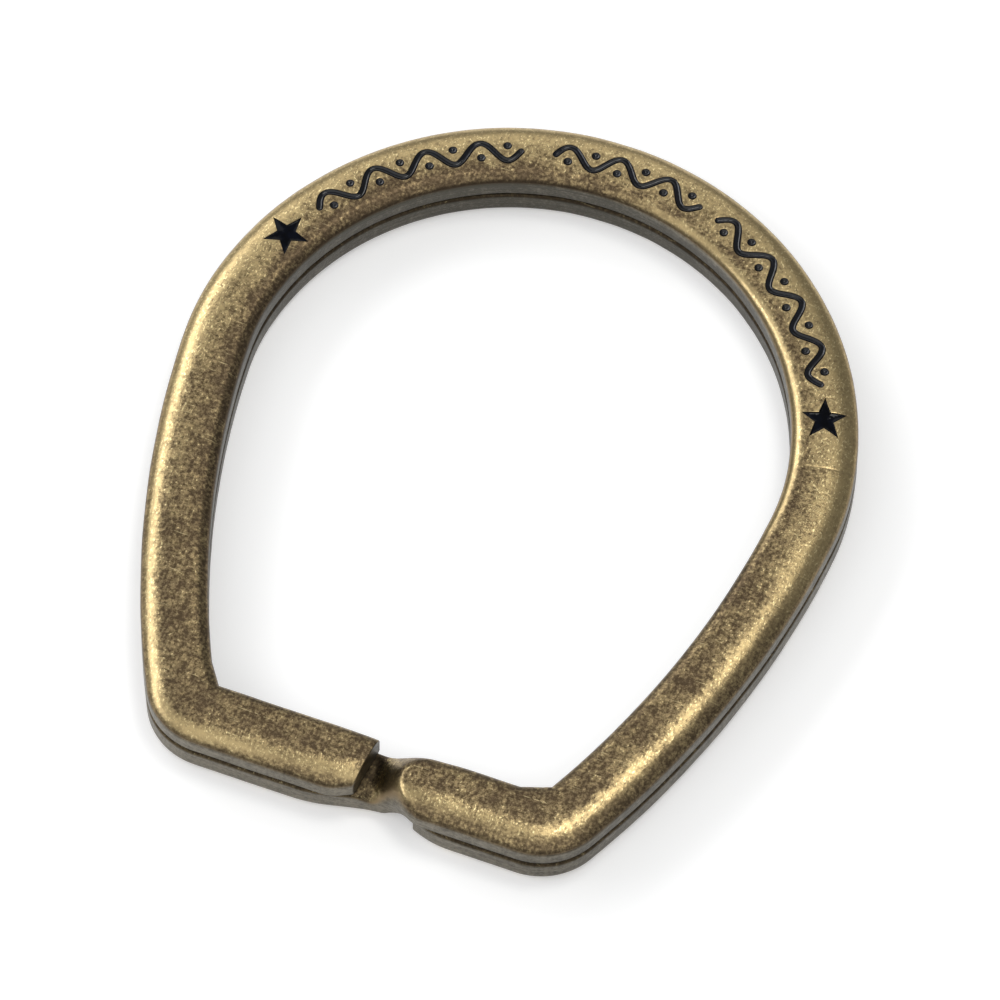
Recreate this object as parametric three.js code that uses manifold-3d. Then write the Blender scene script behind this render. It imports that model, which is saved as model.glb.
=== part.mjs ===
// A split key ring of flat spring wire, wound twice round a horseshoe outline.
//
// Millimetres, +Z up. The origin is the centre of the outline, on the underside of the lower coil.
// +Y points from the straight leg, where both free ends are, to the round top. The wire is one
// continuous piece. It is cut here into sections, so that rigid bodies can follow its elastic opening.

import * as THREE from "three";
import { mergeVertices } from "three/addons/utils/BufferGeometryUtils.js";
import Module from "manifold-3d";

// The wire and its two coils.
const WIRE_WIDTH = 3.2;
const WIRE_THICKNESS = 1.46;
const COIL_GAP = 0.1;
const EDGE_RADIUS = 0.47;
const FACING_EDGE_RADIUS = 0.2;
const CLIMB = WIRE_THICKNESS + COIL_GAP;
const TOP = CLIMB + WIRE_THICKNESS;

// Seen from above, the wire's centreline is a straight leg and four pairs of arcs, all tangent.
const ARC_RADIUS = 14.69;
const ARC_TURN = 78.9;
const SHOULDER_RADIUS = 12.19;
const SHOULDER_TURN = 15.35;
const SIDE_RADIUS = 45.92;
const SIDE_TURN = 23.2;
const CORNER_RADIUS = 1.85;
const CORNER_TURN = 180 - ARC_TURN - SHOULDER_TURN - SIDE_TURN;

// The crossover, where the lower coil climbs to the upper one. Its places are X on the straight leg.
const SLOPE_LENGTH = 1.6;
const TOP_SLOPE_START = 0.25;
const UNDER_SLOPE_START = 1;
const CROSSOVER_END = UNDER_SLOPE_START + SLOPE_LENGTH;

// Its waist: how much narrower the wire is there on each side, and how far that reaches before and after.
const NECK_CENTRE = 1.3;
const NECK_WAIST = { outer: 0.7, inner: 0.16 };
const NECK_REACH = { outer: [4.2, 1.9], inner: [2.5, 3.5] };

// Where the top edges come out from under the upper free end, and the under edges go in over the lower
// coil. Edges that face the other coil are less rounded.
const TOP_EXPOSED = [-0.4, 1];
const UNDER_COVERED = [1.4, 2.9];

// The two free ends: X of their faces, and how far their corners are eased back from full width. The
// upper one is cut a little askew: how far back it leans for each millimetre outwards.
const UPPER_END_X = 0.12;
const LOWER_END_X = 2.7;
const END_EASE_LENGTH = 1.9;
const UPPER_END_EASE = { inner: 0.05, outer: 0.5 };
const LOWER_END_EASE = { inner: 0.25, outer: 0.42 };
const END_SLANT = 0.13;
const END_CHAMFER = 0.12;

// In each corner the metal bulges inwards, and the inner edge runs straight across: from how far before
// the bend to how far after it.
const RIGHT_BULGE = [0.93, 0.39];
const LEFT_BULGE = [1.08, 0.06];

// The gap between sections, and the one cut that isn't where two arcs meet: its angle off the arc's top.
const SECTION_GAP = 0.05;
const ARC_CUT = 15.5;

// The enamel border on the upper face, with its places as angles from the arc's top, clockwise: a star
// at each end, and between them three waves with a dot in every bend.
const BORDER_RADIUS = 14.66;
const STARS = [
  { name: "left", angle: -66.8, tilt: 14 },
  { name: "right", angle: 68.8, tilt: -14 },
];
const STAR_RADIUS = 1.12;
const STAR_WAIST = 0.46;
const WAVES = [
  { name: "left", from: -58.5, to: -18.5, periods: 4 },
  { name: "middle", from: -12, to: 17, periods: 3 },
  { name: "right", from: 21.5, to: 61.5, periods: 4 },
];
const WAVE_SWING = 0.5;
const STROKE_WIDTH = 0.32;
const DOT_RADIUS = 0.2;
const DOT_OFFSET = 0.3;
const RECESS_DEPTH = 0.2;
const ENAMEL_GAP = 0.02;

// How finely curves are cut into facets.
const FACET_TURN = 4;
const FACET_LENGTH = 2.5;
const CROSSOVER_FACET = 0.2;
const NECK_FACET = 0.6;
const EDGE_FACETS = 2;
const WAVE_FACETS = 14;
const DOT_FACETS = 10;

const { clamp, degToRad, euclideanModulo, lerp, smoothstep } = THREE.MathUtils;

const wasm = await Module();
wasm.setup();

// How far an arc carries the centreline along X and Y while its heading turns, in degrees.
function reach(radius, from, to) {
  const dx = radius * (Math.sin(degToRad(to)) - Math.sin(degToRad(from)));
  const dy = radius * (Math.cos(degToRad(from)) - Math.cos(degToRad(to)));
  return new THREE.Vector2(dx, dy);
}

// Half the outline's arcs, from the leg to the top.
const halfArcs = [
  { radius: CORNER_RADIUS, turn: CORNER_TURN },
  { radius: SIDE_RADIUS, turn: SIDE_TURN },
  { radius: SHOULDER_RADIUS, turn: SHOULDER_TURN },
  { radius: ARC_RADIUS, turn: ARC_TURN },
];

// The leg closes the outline: half its length is what the four arcs take back along X.
const halfReach = new THREE.Vector2();
let halfHeading = 0;
for (const { radius, turn } of halfArcs) {
  halfReach.add(reach(radius, halfHeading, halfHeading + turn));
  halfHeading += turn;
}
const HALF_LEG = -halfReach.x;
const LEG_Y = -halfReach.y / 2;
const ARC_CENTRE_Y = -LEG_Y - ARC_RADIUS;

// How far the centreline is carried by a share of a stretch. Only the leg is straight, along +X.
function carried({ radius, turn, length, heading }, share) {
  if (turn === 0) return new THREE.Vector2(share * length, 0);
  return reach(radius, heading, heading + share * turn);
}

// The whole outline, counterclockwise from the middle of the leg, with where each stretch starts.
const halfLeg = { radius: 0, turn: 0, length: HALF_LEG };
const stretches = [];
let turnLength = 0;
let heading = 0;
const corner = new THREE.Vector2(0, LEG_Y);
for (const piece of [halfLeg, ...halfArcs, ...halfArcs.toReversed(), halfLeg]) {
  const length = piece.length ?? piece.radius * degToRad(piece.turn);
  const stretch = { ...piece, length, heading, start: turnLength, point: corner.clone() };
  stretches.push(stretch);
  corner.add(carried(stretch, 1));
  turnLength += length;
  heading += piece.turn;
}

// Distances along the centreline of the lower coil. The upper coil's are one turn further.
const RIGHT_SHOULDER = stretches[4].start;
const ARC_TOP = stretches[5].start;
const LEFT_SHOULDER = stretches[6].start;
const CUT_FROM_TOP = ARC_RADIUS * degToRad(ARC_CUT);
const WIRE_START = LOWER_END_X;
const WIRE_END = 2 * turnLength + UPPER_END_X;

// The centreline's point and heading at a distance along either coil.
function centreAt(distance) {
  const onTurn = euclideanModulo(distance, turnLength);
  const stretch = stretches.findLast(({ start }) => start <= onTurn);
  const share = (onTurn - stretch.start) / stretch.length;
  const point = stretch.point.clone().add(carried(stretch, share));
  return { point, heading: stretch.heading + share * stretch.turn };
}

// How much a corner of a free end is eased at a place this far from its face.
function eased(depth, fromEnd) {
  return depth * clamp(1 - fromEnd / END_EASE_LENGTH, 0, 1) ** 2;
}

// How far the wire reaches on one side of its centreline.
function halfWidth(distance, side) {
  const past = distance - turnLength - NECK_CENTRE;
  const [before, after] = NECK_REACH[side];
  const waist = NECK_WAIST[side] * (1 - smoothstep(past < 0 ? -past / before : past / after, 0, 1));
  const lowerEnd = eased(LOWER_END_EASE[side], distance - WIRE_START);
  const upperEnd = eased(UPPER_END_EASE[side], WIRE_END - distance);
  return WIRE_WIDTH / 2 - waist - lowerEnd - upperEnd;
}

// The directions along the wire and outwards at a heading.
function forwardAt(heading) {
  return new THREE.Vector2(Math.cos(degToRad(heading)), Math.sin(degToRad(heading)));
}

function outwardAt(heading) {
  return forwardAt(heading - 90);
}

function innerEdge(distance) {
  const { point, heading } = centreAt(distance);
  return point.addScaledVector(outwardAt(heading), -WIRE_WIDTH / 2);
}

// Where each corner's bulge starts and ends, as distances on the lower coil.
const bulges = [
  { from: stretches[1].start - RIGHT_BULGE[0], to: stretches[2].start + RIGHT_BULGE[1] },
  { from: stretches[8].start - LEFT_BULGE[0], to: stretches[9].start + LEFT_BULGE[1] },
];

// How far a bulge moves the inner edge.
function bulgeAt(distance) {
  const onTurn = euclideanModulo(distance, turnLength);
  const bulge = bulges.find(({ from, to }) => from < onTurn && onTurn < to);
  if (!bulge) return new THREE.Vector2();
  const edge = innerEdge(onTurn);
  const first = innerEdge(bulge.from);
  const straight = innerEdge(bulge.to).sub(first);
  const share = edge.clone().sub(first).dot(straight) / straight.lengthSq();
  return straight.multiplyScalar(share).add(first).sub(edge);
}

// The ring of points round the section, with its rounded edges taken in by an inset.
function sectionRing(distance, inset = 0) {
  const { point, heading } = centreAt(distance);
  const bulge = bulgeAt(distance);
  const atEnd = smoothstep(distance, WIRE_END - END_EASE_LENGTH, WIRE_END);
  const onLeg = distance - turnLength;
  const top = WIRE_THICKNESS + CLIMB * smoothstep(onLeg, TOP_SLOPE_START, TOP_SLOPE_START + SLOPE_LENGTH);
  const bottom = CLIMB * smoothstep(onLeg, UNDER_SLOPE_START, CROSSOVER_END);
  const outer = halfWidth(distance, "outer");
  const inner = halfWidth(distance, "inner");
  const topEdge = lerp(FACING_EDGE_RADIUS, EDGE_RADIUS, smoothstep(onLeg, ...TOP_EXPOSED));
  const underEdge = lerp(EDGE_RADIUS, FACING_EDGE_RADIUS, smoothstep(onLeg, ...UNDER_COVERED));
  const edges = [
    { radius: topEdge, across: outer - topEdge, height: top - topEdge },
    { radius: topEdge, across: topEdge - inner, height: top - topEdge },
    { radius: underEdge, across: underEdge - inner, height: bottom + underEdge },
    { radius: underEdge, across: outer - underEdge, height: bottom + underEdge },
  ];
  const points = [];
  edges.forEach(({ radius, across, height }, quarter) => {
    for (let i = 0; i <= EDGE_FACETS; i++) {
      const angle = degToRad(90 * (quarter + i / EDGE_FACETS));
      const reachOut = across + (radius - inset) * Math.cos(angle);
      const { x, y } = point
        .clone()
        .addScaledVector(outwardAt(heading), reachOut)
        .addScaledVector(bulge, smoothstep(-reachOut, 0, WIRE_WIDTH / 2))
        .addScaledVector(forwardAt(heading), -END_SLANT * (reachOut + WIRE_WIDTH / 2) * atEnd);
      points.push(new THREE.Vector3(x, y, height + (radius - inset) * Math.sin(angle)));
    }
  });
  return points;
}

// Evenly spaced places from one distance up to another, without the last.
function spaced(from, to, step) {
  const count = Math.ceil((to - from) / step);
  return Array.from({ length: count }, (_, i) => lerp(from, to, i / count));
}

// Every place on the wire where its surface needs a ring of points: along each stretch of both coils,
// and closer together at the crossover and the free ends.
const wirePlaces = [
  ...stretches.flatMap(({ start, length, turn }) => {
    const step = Math.min(FACET_LENGTH, turn === 0 ? length : (length * FACET_TURN) / turn);
    const places = spaced(start, start + length, step);
    return [...places, ...places.map((place) => place + turnLength)];
  }),
  ...bulges.flatMap(({ from, to }) => [from, to, from + turnLength, to + turnLength]),
  ...spaced(turnLength + NECK_CENTRE - NECK_REACH.outer[0], turnLength + TOP_SLOPE_START, NECK_FACET),
  ...spaced(turnLength + TOP_SLOPE_START, turnLength + CROSSOVER_END, CROSSOVER_FACET),
  ...spaced(turnLength + CROSSOVER_END, turnLength + NECK_CENTRE + NECK_REACH.inner[1], NECK_FACET),
  ...spaced(WIRE_START, WIRE_START + END_EASE_LENGTH, CROSSOVER_FACET),
  ...spaced(WIRE_END - END_EASE_LENGTH, WIRE_END, CROSSOVER_FACET),
].sort((a, b) => a - b);

// The places between two distances, both included, leaving out any that nearly repeat another.
function placesBetween(from, to) {
  const least = CROSSOVER_FACET / 2;
  const places = [from];
  for (const place of wirePlaces) {
    if (place - places.at(-1) > least && place < to - least) places.push(place);
  }
  return [...places, to];
}

// A closed skin through rings of points, with a flat cap on the first and the last.
function skin(rings) {
  const count = rings[0].length;
  const index = [];
  for (let r = 0; r < rings.length - 1; r++) {
    for (let i = 0; i < count; i++) {
      const a = r * count + i;
      const b = r * count + ((i + 1) % count);
      index.push(a, b + count, b, a, a + count, b + count);
    }
  }
  const last = (rings.length - 1) * count;
  for (let i = 1; i < count - 1; i++) {
    index.push(0, i, i + 1, last, last + i + 1, last + i);
  }
  return new THREE.BufferGeometry().setFromPoints(rings.flat()).setIndex(index);
}

// The wire between two distances. The edge of a free end is chamfered.
function wireBetween(from, to) {
  const rings = placesBetween(from, to).map((place) => sectionRing(place));
  if (from === WIRE_START) {
    rings.splice(0, 1, sectionRing(from, END_CHAMFER), sectionRing(from + END_CHAMFER));
  }
  if (to === WIRE_END) {
    rings.splice(-1, 1, sectionRing(to - END_CHAMFER), sectionRing(to, END_CHAMFER));
  }
  return skin(rings);
}

function solidFrom(geometry) {
  const bare = new THREE.BufferGeometry();
  bare.setAttribute("position", geometry.getAttribute("position"));
  bare.setIndex(geometry.getIndex());
  const merged = mergeVertices(bare);
  const vertProperties = merged.getAttribute("position").array;
  const triVerts = new Uint32Array(merged.getIndex().array);
  return new wasm.Manifold(new wasm.Mesh({ numProp: 3, vertProperties, triVerts }));
}

function geometryFrom(solid) {
  const { numProp, vertProperties, triVerts } = solid.getMesh();
  const geometry = new THREE.BufferGeometry();
  geometry.setAttribute("position", new THREE.BufferAttribute(vertProperties, numProp));
  return geometry.setIndex(new THREE.BufferAttribute(triVerts, 1));
}

// A point of the border, by its angle from the arc's top and how far it is outside the border's radius.
function borderPoint(angle, outside) {
  const radius = BORDER_RADIUS + outside;
  const x = radius * Math.sin(degToRad(angle));
  return new THREE.Vector2(x, ARC_CENTRE_Y + radius * Math.cos(degToRad(angle)));
}

// The middle line of one wave of the border.
class Wave extends THREE.Curve {
  constructor({ from, to, periods }) {
    super();
    Object.assign(this, { from, to, periods });
  }

  getPoint(t) {
    const swing = WAVE_SWING * Math.sin(2 * Math.PI * this.periods * t);
    return borderPoint(lerp(this.from, this.to, t), swing);
  }
}

// Each outline below is grown by a margin, which is 0 for the enamel and a little more for its recess.

// A wave's stroke: up one side, round the far end, back down the other side, and round the near end.
function waveShape(wave, grow) {
  const curve = new Wave(wave);
  const half = STROKE_WIDTH / 2 + grow;
  const steps = WAVE_FACETS * wave.periods;
  const offset = (t, angle) => {
    const along = curve.getTangent(t).multiplyScalar(half);
    return along.rotateAround(new THREE.Vector2(), angle).add(curve.getPoint(t));
  };
  const shares = Array.from({ length: steps + 1 }, (_, i) => i / steps);
  const quarter = Math.PI / 4;
  return new THREE.Shape([
    ...shares.map((t) => offset(t, 2 * quarter)),
    ...[quarter, 0, -quarter].map((angle) => offset(1, angle)),
    ...shares.toReversed().map((t) => offset(t, -2 * quarter)),
    ...[-3 * quarter, 4 * quarter, 3 * quarter].map((angle) => offset(0, angle)),
  ]);
}

function dotShape(centre, grow) {
  const shape = new THREE.Shape();
  return shape.absarc(centre.x, centre.y, DOT_RADIUS + grow, 0, 2 * Math.PI);
}

// A star's points are sharp, so growing its edges takes them out twice as far.
function starShape({ angle, tilt }, grow) {
  const centre = borderPoint(angle, 0);
  const points = Array.from({ length: 10 }, (_, i) => {
    const radius = i % 2 === 0 ? STAR_RADIUS + 2 * grow : STAR_WAIST + grow;
    const bearing = degToRad(angle + tilt - 36 * i);
    return new THREE.Vector2(Math.sin(bearing), Math.cos(bearing)).multiplyScalar(radius).add(centre);
  });
  return new THREE.Shape(points);
}

// Every piece of enamel: its name, its angle on the arc and its outline.
const enamels = STARS.map((star) => {
  return { name: `enamel_star_${star.name}`, angle: star.angle, outline: (grow) => starShape(star, grow) };
});
for (const wave of WAVES) {
  const { name, from, to, periods } = wave;
  enamels.push({ name: `enamel_wave_${name}`, angle: from, outline: (grow) => waveShape(wave, grow) });
  for (let i = 0; i < 2 * periods; i++) {
    const angle = lerp(from, to, (i + 0.5) / (2 * periods));
    const centre = borderPoint(angle, i % 2 === 0 ? -DOT_OFFSET : DOT_OFFSET);
    const outline = (grow) => dotShape(centre, grow);
    enamels.push({ name: `enamel_dot_${name}_${i + 1}`, angle, outline });
  }
}

// An outline raised to a flat-topped block, standing on a height.
function raised(outline, bottom, depth) {
  const block = { depth, bevelEnabled: false, curveSegments: DOT_FACETS };
  return new THREE.ExtrudeGeometry(outline, block).translate(0, 0, bottom);
}

function enamelGeometry({ outline }) {
  const depth = RECESS_DEPTH - 2 * ENAMEL_GAP;
  return raised(outline(0), TOP - ENAMEL_GAP - depth, depth);
}

function withRecesses(wire, pieces) {
  let solid = solidFrom(wire);
  for (const { outline } of pieces) {
    solid = solid.subtract(solidFrom(raised(outline(ENAMEL_GAP), TOP - RECESS_DEPTH, 2 * RECESS_DEPTH)));
  }
  return geometryFrom(solid);
}

const ring = new THREE.Group();
function addMesh(name, geometry, material) {
  const mesh = new THREE.Mesh(geometry, new THREE.MeshStandardMaterial(material));
  mesh.name = name;
  ring.add(mesh);
}
const BRASS = { color: 0x8a7448, metalness: 1, roughness: 0.45 };
const ENAMEL = { color: 0x0b1018, metalness: 0, roughness: 0.12 };

// The sections of wire from the lower free end to the upper one, each with the distance where it ends.
const sections = [
  { name: "lower_right_leg", to: RIGHT_SHOULDER },
  { name: "lower_right_arc", to: ARC_TOP - CUT_FROM_TOP },
  { name: "lower_left_arc", to: LEFT_SHOULDER },
  { name: "lower_left_leg", to: turnLength + TOP_SLOPE_START },
  { name: "crossover", to: turnLength + CROSSOVER_END },
  { name: "upper_right_leg", to: turnLength + RIGHT_SHOULDER },
  {
    name: "upper_right_arc",
    to: turnLength + ARC_TOP + CUT_FROM_TOP,
    enamel: enamels.filter(({ angle }) => angle > -ARC_CUT),
  },
  {
    name: "upper_left_arc",
    to: turnLength + LEFT_SHOULDER,
    enamel: enamels.filter(({ angle }) => angle < -ARC_CUT),
  },
  { name: "upper_left_leg", to: WIRE_END },
];
let start = WIRE_START;
for (const { name, to, enamel } of sections) {
  const end = to === WIRE_END ? to : to - SECTION_GAP / 2;
  const wire = wireBetween(start, end);
  addMesh(name, enamel ? withRecesses(wire, enamel) : wire, BRASS);
  start = end + SECTION_GAP;
}
for (const piece of enamels) addMesh(piece.name, enamelGeometry(piece), ENAMEL);

export default ring;
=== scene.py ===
import math

import bpy
import numpy as np
from mathutils import Matrix, Vector


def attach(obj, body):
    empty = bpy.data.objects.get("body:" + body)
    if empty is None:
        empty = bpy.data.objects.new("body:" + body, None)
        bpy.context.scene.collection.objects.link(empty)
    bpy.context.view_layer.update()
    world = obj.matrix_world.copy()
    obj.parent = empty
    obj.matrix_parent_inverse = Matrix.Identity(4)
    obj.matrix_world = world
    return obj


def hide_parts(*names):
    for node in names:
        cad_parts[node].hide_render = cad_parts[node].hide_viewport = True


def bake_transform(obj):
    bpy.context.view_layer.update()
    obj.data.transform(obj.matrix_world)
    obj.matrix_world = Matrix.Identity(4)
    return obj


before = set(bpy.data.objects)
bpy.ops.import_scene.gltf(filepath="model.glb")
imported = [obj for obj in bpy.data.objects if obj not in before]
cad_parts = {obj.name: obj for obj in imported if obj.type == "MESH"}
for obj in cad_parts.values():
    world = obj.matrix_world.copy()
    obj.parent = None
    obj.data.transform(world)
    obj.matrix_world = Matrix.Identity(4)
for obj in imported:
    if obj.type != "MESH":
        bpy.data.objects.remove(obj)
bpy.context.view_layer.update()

# A split key ring of flat spring wire, wound twice round a horseshoe outline, in antique brass with an
# enamelled border. Plan sizes are in millimetres and angles in degrees, as in the design. Meshes are
# in metres. A place on the wire is its distance along the centreline, counterclockwise from the middle
# of the straight leg: first round the lower coil, then over the crossover and round the upper one.
MM = 0.001

# ---- The plan, repeated from the design --------------------------------------------------------------

WIRE_WIDTH = 3.2
WIRE_THICKNESS = 1.46
COIL_GAP = 0.1
CLIMB = WIRE_THICKNESS + COIL_GAP
TOP = CLIMB + WIRE_THICKNESS

ARC_RADIUS, ARC_TURN = 14.69, 78.9
SHOULDER_RADIUS, SHOULDER_TURN = 12.19, 15.35
SIDE_RADIUS, SIDE_TURN = 45.92, 23.2
CORNER_RADIUS, CORNER_TURN = 1.85, 180 - ARC_TURN - SHOULDER_TURN - SIDE_TURN

SLOPE_LENGTH = 1.6
TOP_SLOPE_START = 0.25
UNDER_SLOPE_START = 1.0
CROSSOVER_END = UNDER_SLOPE_START + SLOPE_LENGTH
NECK_CENTRE = 1.3
NECK_WAIST = {"outer": 0.7, "inner": 0.16}
NECK_REACH = {"outer": (4.2, 1.9), "inner": (2.5, 3.5)}

UPPER_END_X = 0.12
LOWER_END_X = 2.7
END_EASE_LENGTH = 1.9
UPPER_END_EASE = {"inner": 0.05, "outer": 0.5}
LOWER_END_EASE = {"inner": 0.25, "outer": 0.42}

# In each corner the metal bulges inwards, and the inner edge runs straight across: from how far before
# the bend to how far after it.
RIGHT_BULGE = (0.93, 0.39)
LEFT_BULGE = (1.08, 0.06)

BORDER_RADIUS = 14.66
STARS = [("left", -66.8, 14), ("right", 68.8, -14)]
STAR_RADIUS = 1.12
STAR_WAIST = 0.46
WAVES = [("left", -58.5, -18.5, 4), ("middle", -12, 17, 3), ("right", 21.5, 61.5, 4)]
WAVE_SWING = 0.5
STROKE_WIDTH = 0.32
DOT_RADIUS = 0.2
DOT_OFFSET = 0.3

# ---- Finer shape, and how finely it is meshed -------------------------------------------------------

# The rounded edges: how far they reach across a face and down a side. Where the two coils face each
# other, little wears them. The outer one grows at the crossover.
TOP_EDGE = {"outer": 1.5, "inner": 0.7}
TOP_DROP = {"outer": 0.62, "inner": 0.5}
UNDER_EDGE = 0.47
FACING_EDGE = 0.2
NECK_EDGE = 1.55
NECK_DROP = 0.78
NECK_EDGE_REACH = (3.0, 3.4)
# The top face is a little crowned. At the crossover it climbs earlier at the inner edge than at the
# outer one, and takes longer at both than in the middle.
CROWN = 0.05
SLOPE_LAG = {"outer": 0.6, "inner": -0.6}
SLOPE_STRETCH = {"outer": 0.9, "inner": 1.8}
END_ROUNDING = 0.06
# The most of the wire's thickness that an upper and an under edge may round away.
TOP_DROP_SHARE = 0.62
UNDER_DROP_SHARE = 0.34
# The upper end's face is cut a little askew: how far back it leans for each millimetre outwards.
END_SLANT = 0.13
# Tumbling leaves the metal a little below its nominal surface, in gentle swells of these wavelengths
# and depths.
SURFACE_ALLOWANCE = 0.012
SWELLS = [(3.2, 0.0035), (1.1, 0.0016)]
SWELL_WAVES = 14
SEED = 7

# The mesh is finer near the free ends, and on the leg from before its middle to after it.
RING_SPACING = 0.085
FINE_SPACING = 0.045
FINE_BEFORE = 2
FINE_AFTER = 5
EDGE_STEPS = 9
TOP_STEPS = 22
BOTTOM_STEPS = 14
SIDE_STEPS = 6
WAVE_STEPS = 30
WAVE_END_STEPS = 8
DOT_STEPS = 32
STAR_SIDE_STEPS = 8

# A recess is a little wider than its enamel and has a chamfered rim. The enamel lies a little above the
# recess's floor, and ends a little below its rim.
RECESS_DEPTH = 0.42
RECESS_GROW = 0.006
RECESS_CHAMFER = 0.018
ENAMEL_BED = TOP - RECESS_DEPTH + 0.01
ENAMEL_RIM = 0.02


# ---- The wire's centreline and section --------------------------------------------------------------


def arc_reach(radius, start, end):
    """How far an arc carries the centreline along X and Y while its heading turns."""
    start, end = np.radians(start), np.radians(end)
    turned = np.stack([np.sin(end) - np.sin(start), np.cos(start) - np.cos(end)], -1)
    return np.asarray(radius)[..., None] * turned


HALF_ARCS = [
    (CORNER_RADIUS, CORNER_TURN),
    (SIDE_RADIUS, SIDE_TURN),
    (SHOULDER_RADIUS, SHOULDER_TURN),
    (ARC_RADIUS, ARC_TURN),
]


def outline_stretches():
    """The outline's stretches, its whole length, and the straight leg's Y.

    A stretch is its radius (0 if straight), turn, length, first heading, start and first point."""
    headings = np.cumsum([0] + [turn for _, turn in HALF_ARCS])
    half = sum(arc_reach(r, h, h + turn) for (r, turn), h in zip(HALF_ARCS, headings))
    half_leg, leg_y = -half[0], -half[1] / 2
    legs = [(0, 0)]
    rows, start, heading, point = [], 0.0, 0.0, np.array([0.0, leg_y])
    for radius, turn in legs + HALF_ARCS + HALF_ARCS[::-1] + legs:
        length = radius * math.radians(turn) if radius else half_leg
        rows.append((radius, turn, length, heading, start, *point))
        step = arc_reach(radius, heading, heading + turn)
        if not radius:
            step = np.array([half_leg, 0.0])
        point = point + step
        heading += turn
        start += length
    return np.array(rows), start, leg_y


STRETCHES, TURN_LENGTH, LEG_Y = outline_stretches()
ARC_CENTRE_Y = -LEG_Y - ARC_RADIUS
# The stretches are half the leg, then a corner, side, shoulder and half the arc, and the same backwards.
STRETCH_STARTS = STRETCHES[:, 4]
CORNER_BENDS = [STRETCH_STARTS[1:3], STRETCH_STARTS[8:10]]
RIGHT_SHOULDER = STRETCH_STARTS[4]
LEFT_SHOULDER = STRETCH_STARTS[6]
WIRE_START = LOWER_END_X
WIRE_END = 2 * TURN_LENGTH + UPPER_END_X


def centre_at(distance):
    """The centreline's points and headings at distances along the wire."""
    on_turn = np.mod(distance, TURN_LENGTH)
    row = STRETCHES[np.searchsorted(STRETCH_STARTS, on_turn, side="right") - 1]
    radius, turn, length, first, start = row[:, :5].T
    share = (on_turn - start) / length
    heading = first + share * turn
    straight = np.stack([share * length, np.zeros_like(share)], -1)
    step = np.where(radius[:, None] > 0, arc_reach(radius, first, heading), straight)
    return row[:, 5:7] + step, heading


def smoothstep(x, low, high):
    """0 up to a low value of x, 1 from a high one on, and a smooth rise between them."""
    share = np.clip((x - low) / (high - low), 0, 1)
    return share * share * (3 - 2 * share)


def eased(depth, from_end):
    """How much a corner of a free end is eased, this far from its face."""
    return depth * np.clip(1 - from_end / END_EASE_LENGTH, 0, 1) ** 2


def neck_at(distance, before, after):
    """1 at the crossover's waist, falling to 0 at a reach before and after it."""
    past = distance - TURN_LENGTH - NECK_CENTRE
    return 1 - smoothstep(np.where(past < 0, -past / before, past / after), 0, 1)


def half_width(distance, side):
    """The wire's half width on one side of its centreline."""
    waist = NECK_WAIST[side] * neck_at(distance, *NECK_REACH[side])
    lower_end = eased(LOWER_END_EASE[side], distance - WIRE_START)
    upper_end = eased(UPPER_END_EASE[side], WIRE_END - distance)
    return WIRE_WIDTH / 2 - waist - lower_end - upper_end


def inner_edge(distance):
    """The inner edge of plain wire, without the neck, the eased ends and the bulges."""
    centre, heading = centre_at(distance)
    inward = np.stack([-np.sin(np.radians(heading)), np.cos(np.radians(heading))], -1)
    return centre + WIRE_WIDTH / 2 * inward


def bulge_at(distance):
    """How far the bulges in the corners move the inner edge, at distances along the wire."""
    on_turn = np.mod(distance, TURN_LENGTH)
    edge = inner_edge(on_turn)
    moved = np.zeros_like(edge)
    for bend, bulge in zip(CORNER_BENDS, (RIGHT_BULGE, LEFT_BULGE)):
        start, end = bend[0] - bulge[0], bend[1] + bulge[1]
        first, last = inner_edge(np.array([start, end]))
        straight = last - first
        share = (edge - first) @ straight / (straight @ straight)
        inside = (on_turn > start) & (on_turn < end)
        moved += inside[:, None] * (first + share[:, None] * straight - edge)
    return moved


def top_at(distance, across):
    """The height of the upper face, without its rounded edges."""
    side = across / (WIRE_WIDTH / 2)
    lag = np.where(side > 0, SLOPE_LAG["outer"], SLOPE_LAG["inner"]) * side**2
    stretch = np.where(side > 0, SLOPE_STRETCH["outer"], SLOPE_STRETCH["inner"]) * side**2
    share = (distance - TURN_LENGTH - TOP_SLOPE_START - lag) / (SLOPE_LENGTH + stretch)
    climbed = smoothstep(share, 0, 1)
    return WIRE_THICKNESS + CLIMB * climbed - CROWN * side**2 * climbed


def bottom_at(distance):
    """The height of the under face, without its rounded edges."""
    return CLIMB * smoothstep(distance - TURN_LENGTH, UNDER_SLOPE_START, CROSSOVER_END)


# From where to where on the straight leg the top edges come out from under the upper coil's free end, and
# the under edges go in over the lower coil's.
TOP_EXPOSED = (-0.4, 1.0)
UNDER_COVERED = (1.4, 2.9)

# Round the section, from the top of the outer side: four rounded edges with the faces between them.
EDGE_SIDES = ["outer", "inner", "inner", "outer"]
FACE_STEPS = [TOP_STEPS, SIDE_STEPS, BOTTOM_STEPS, SIDE_STEPS]


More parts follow.
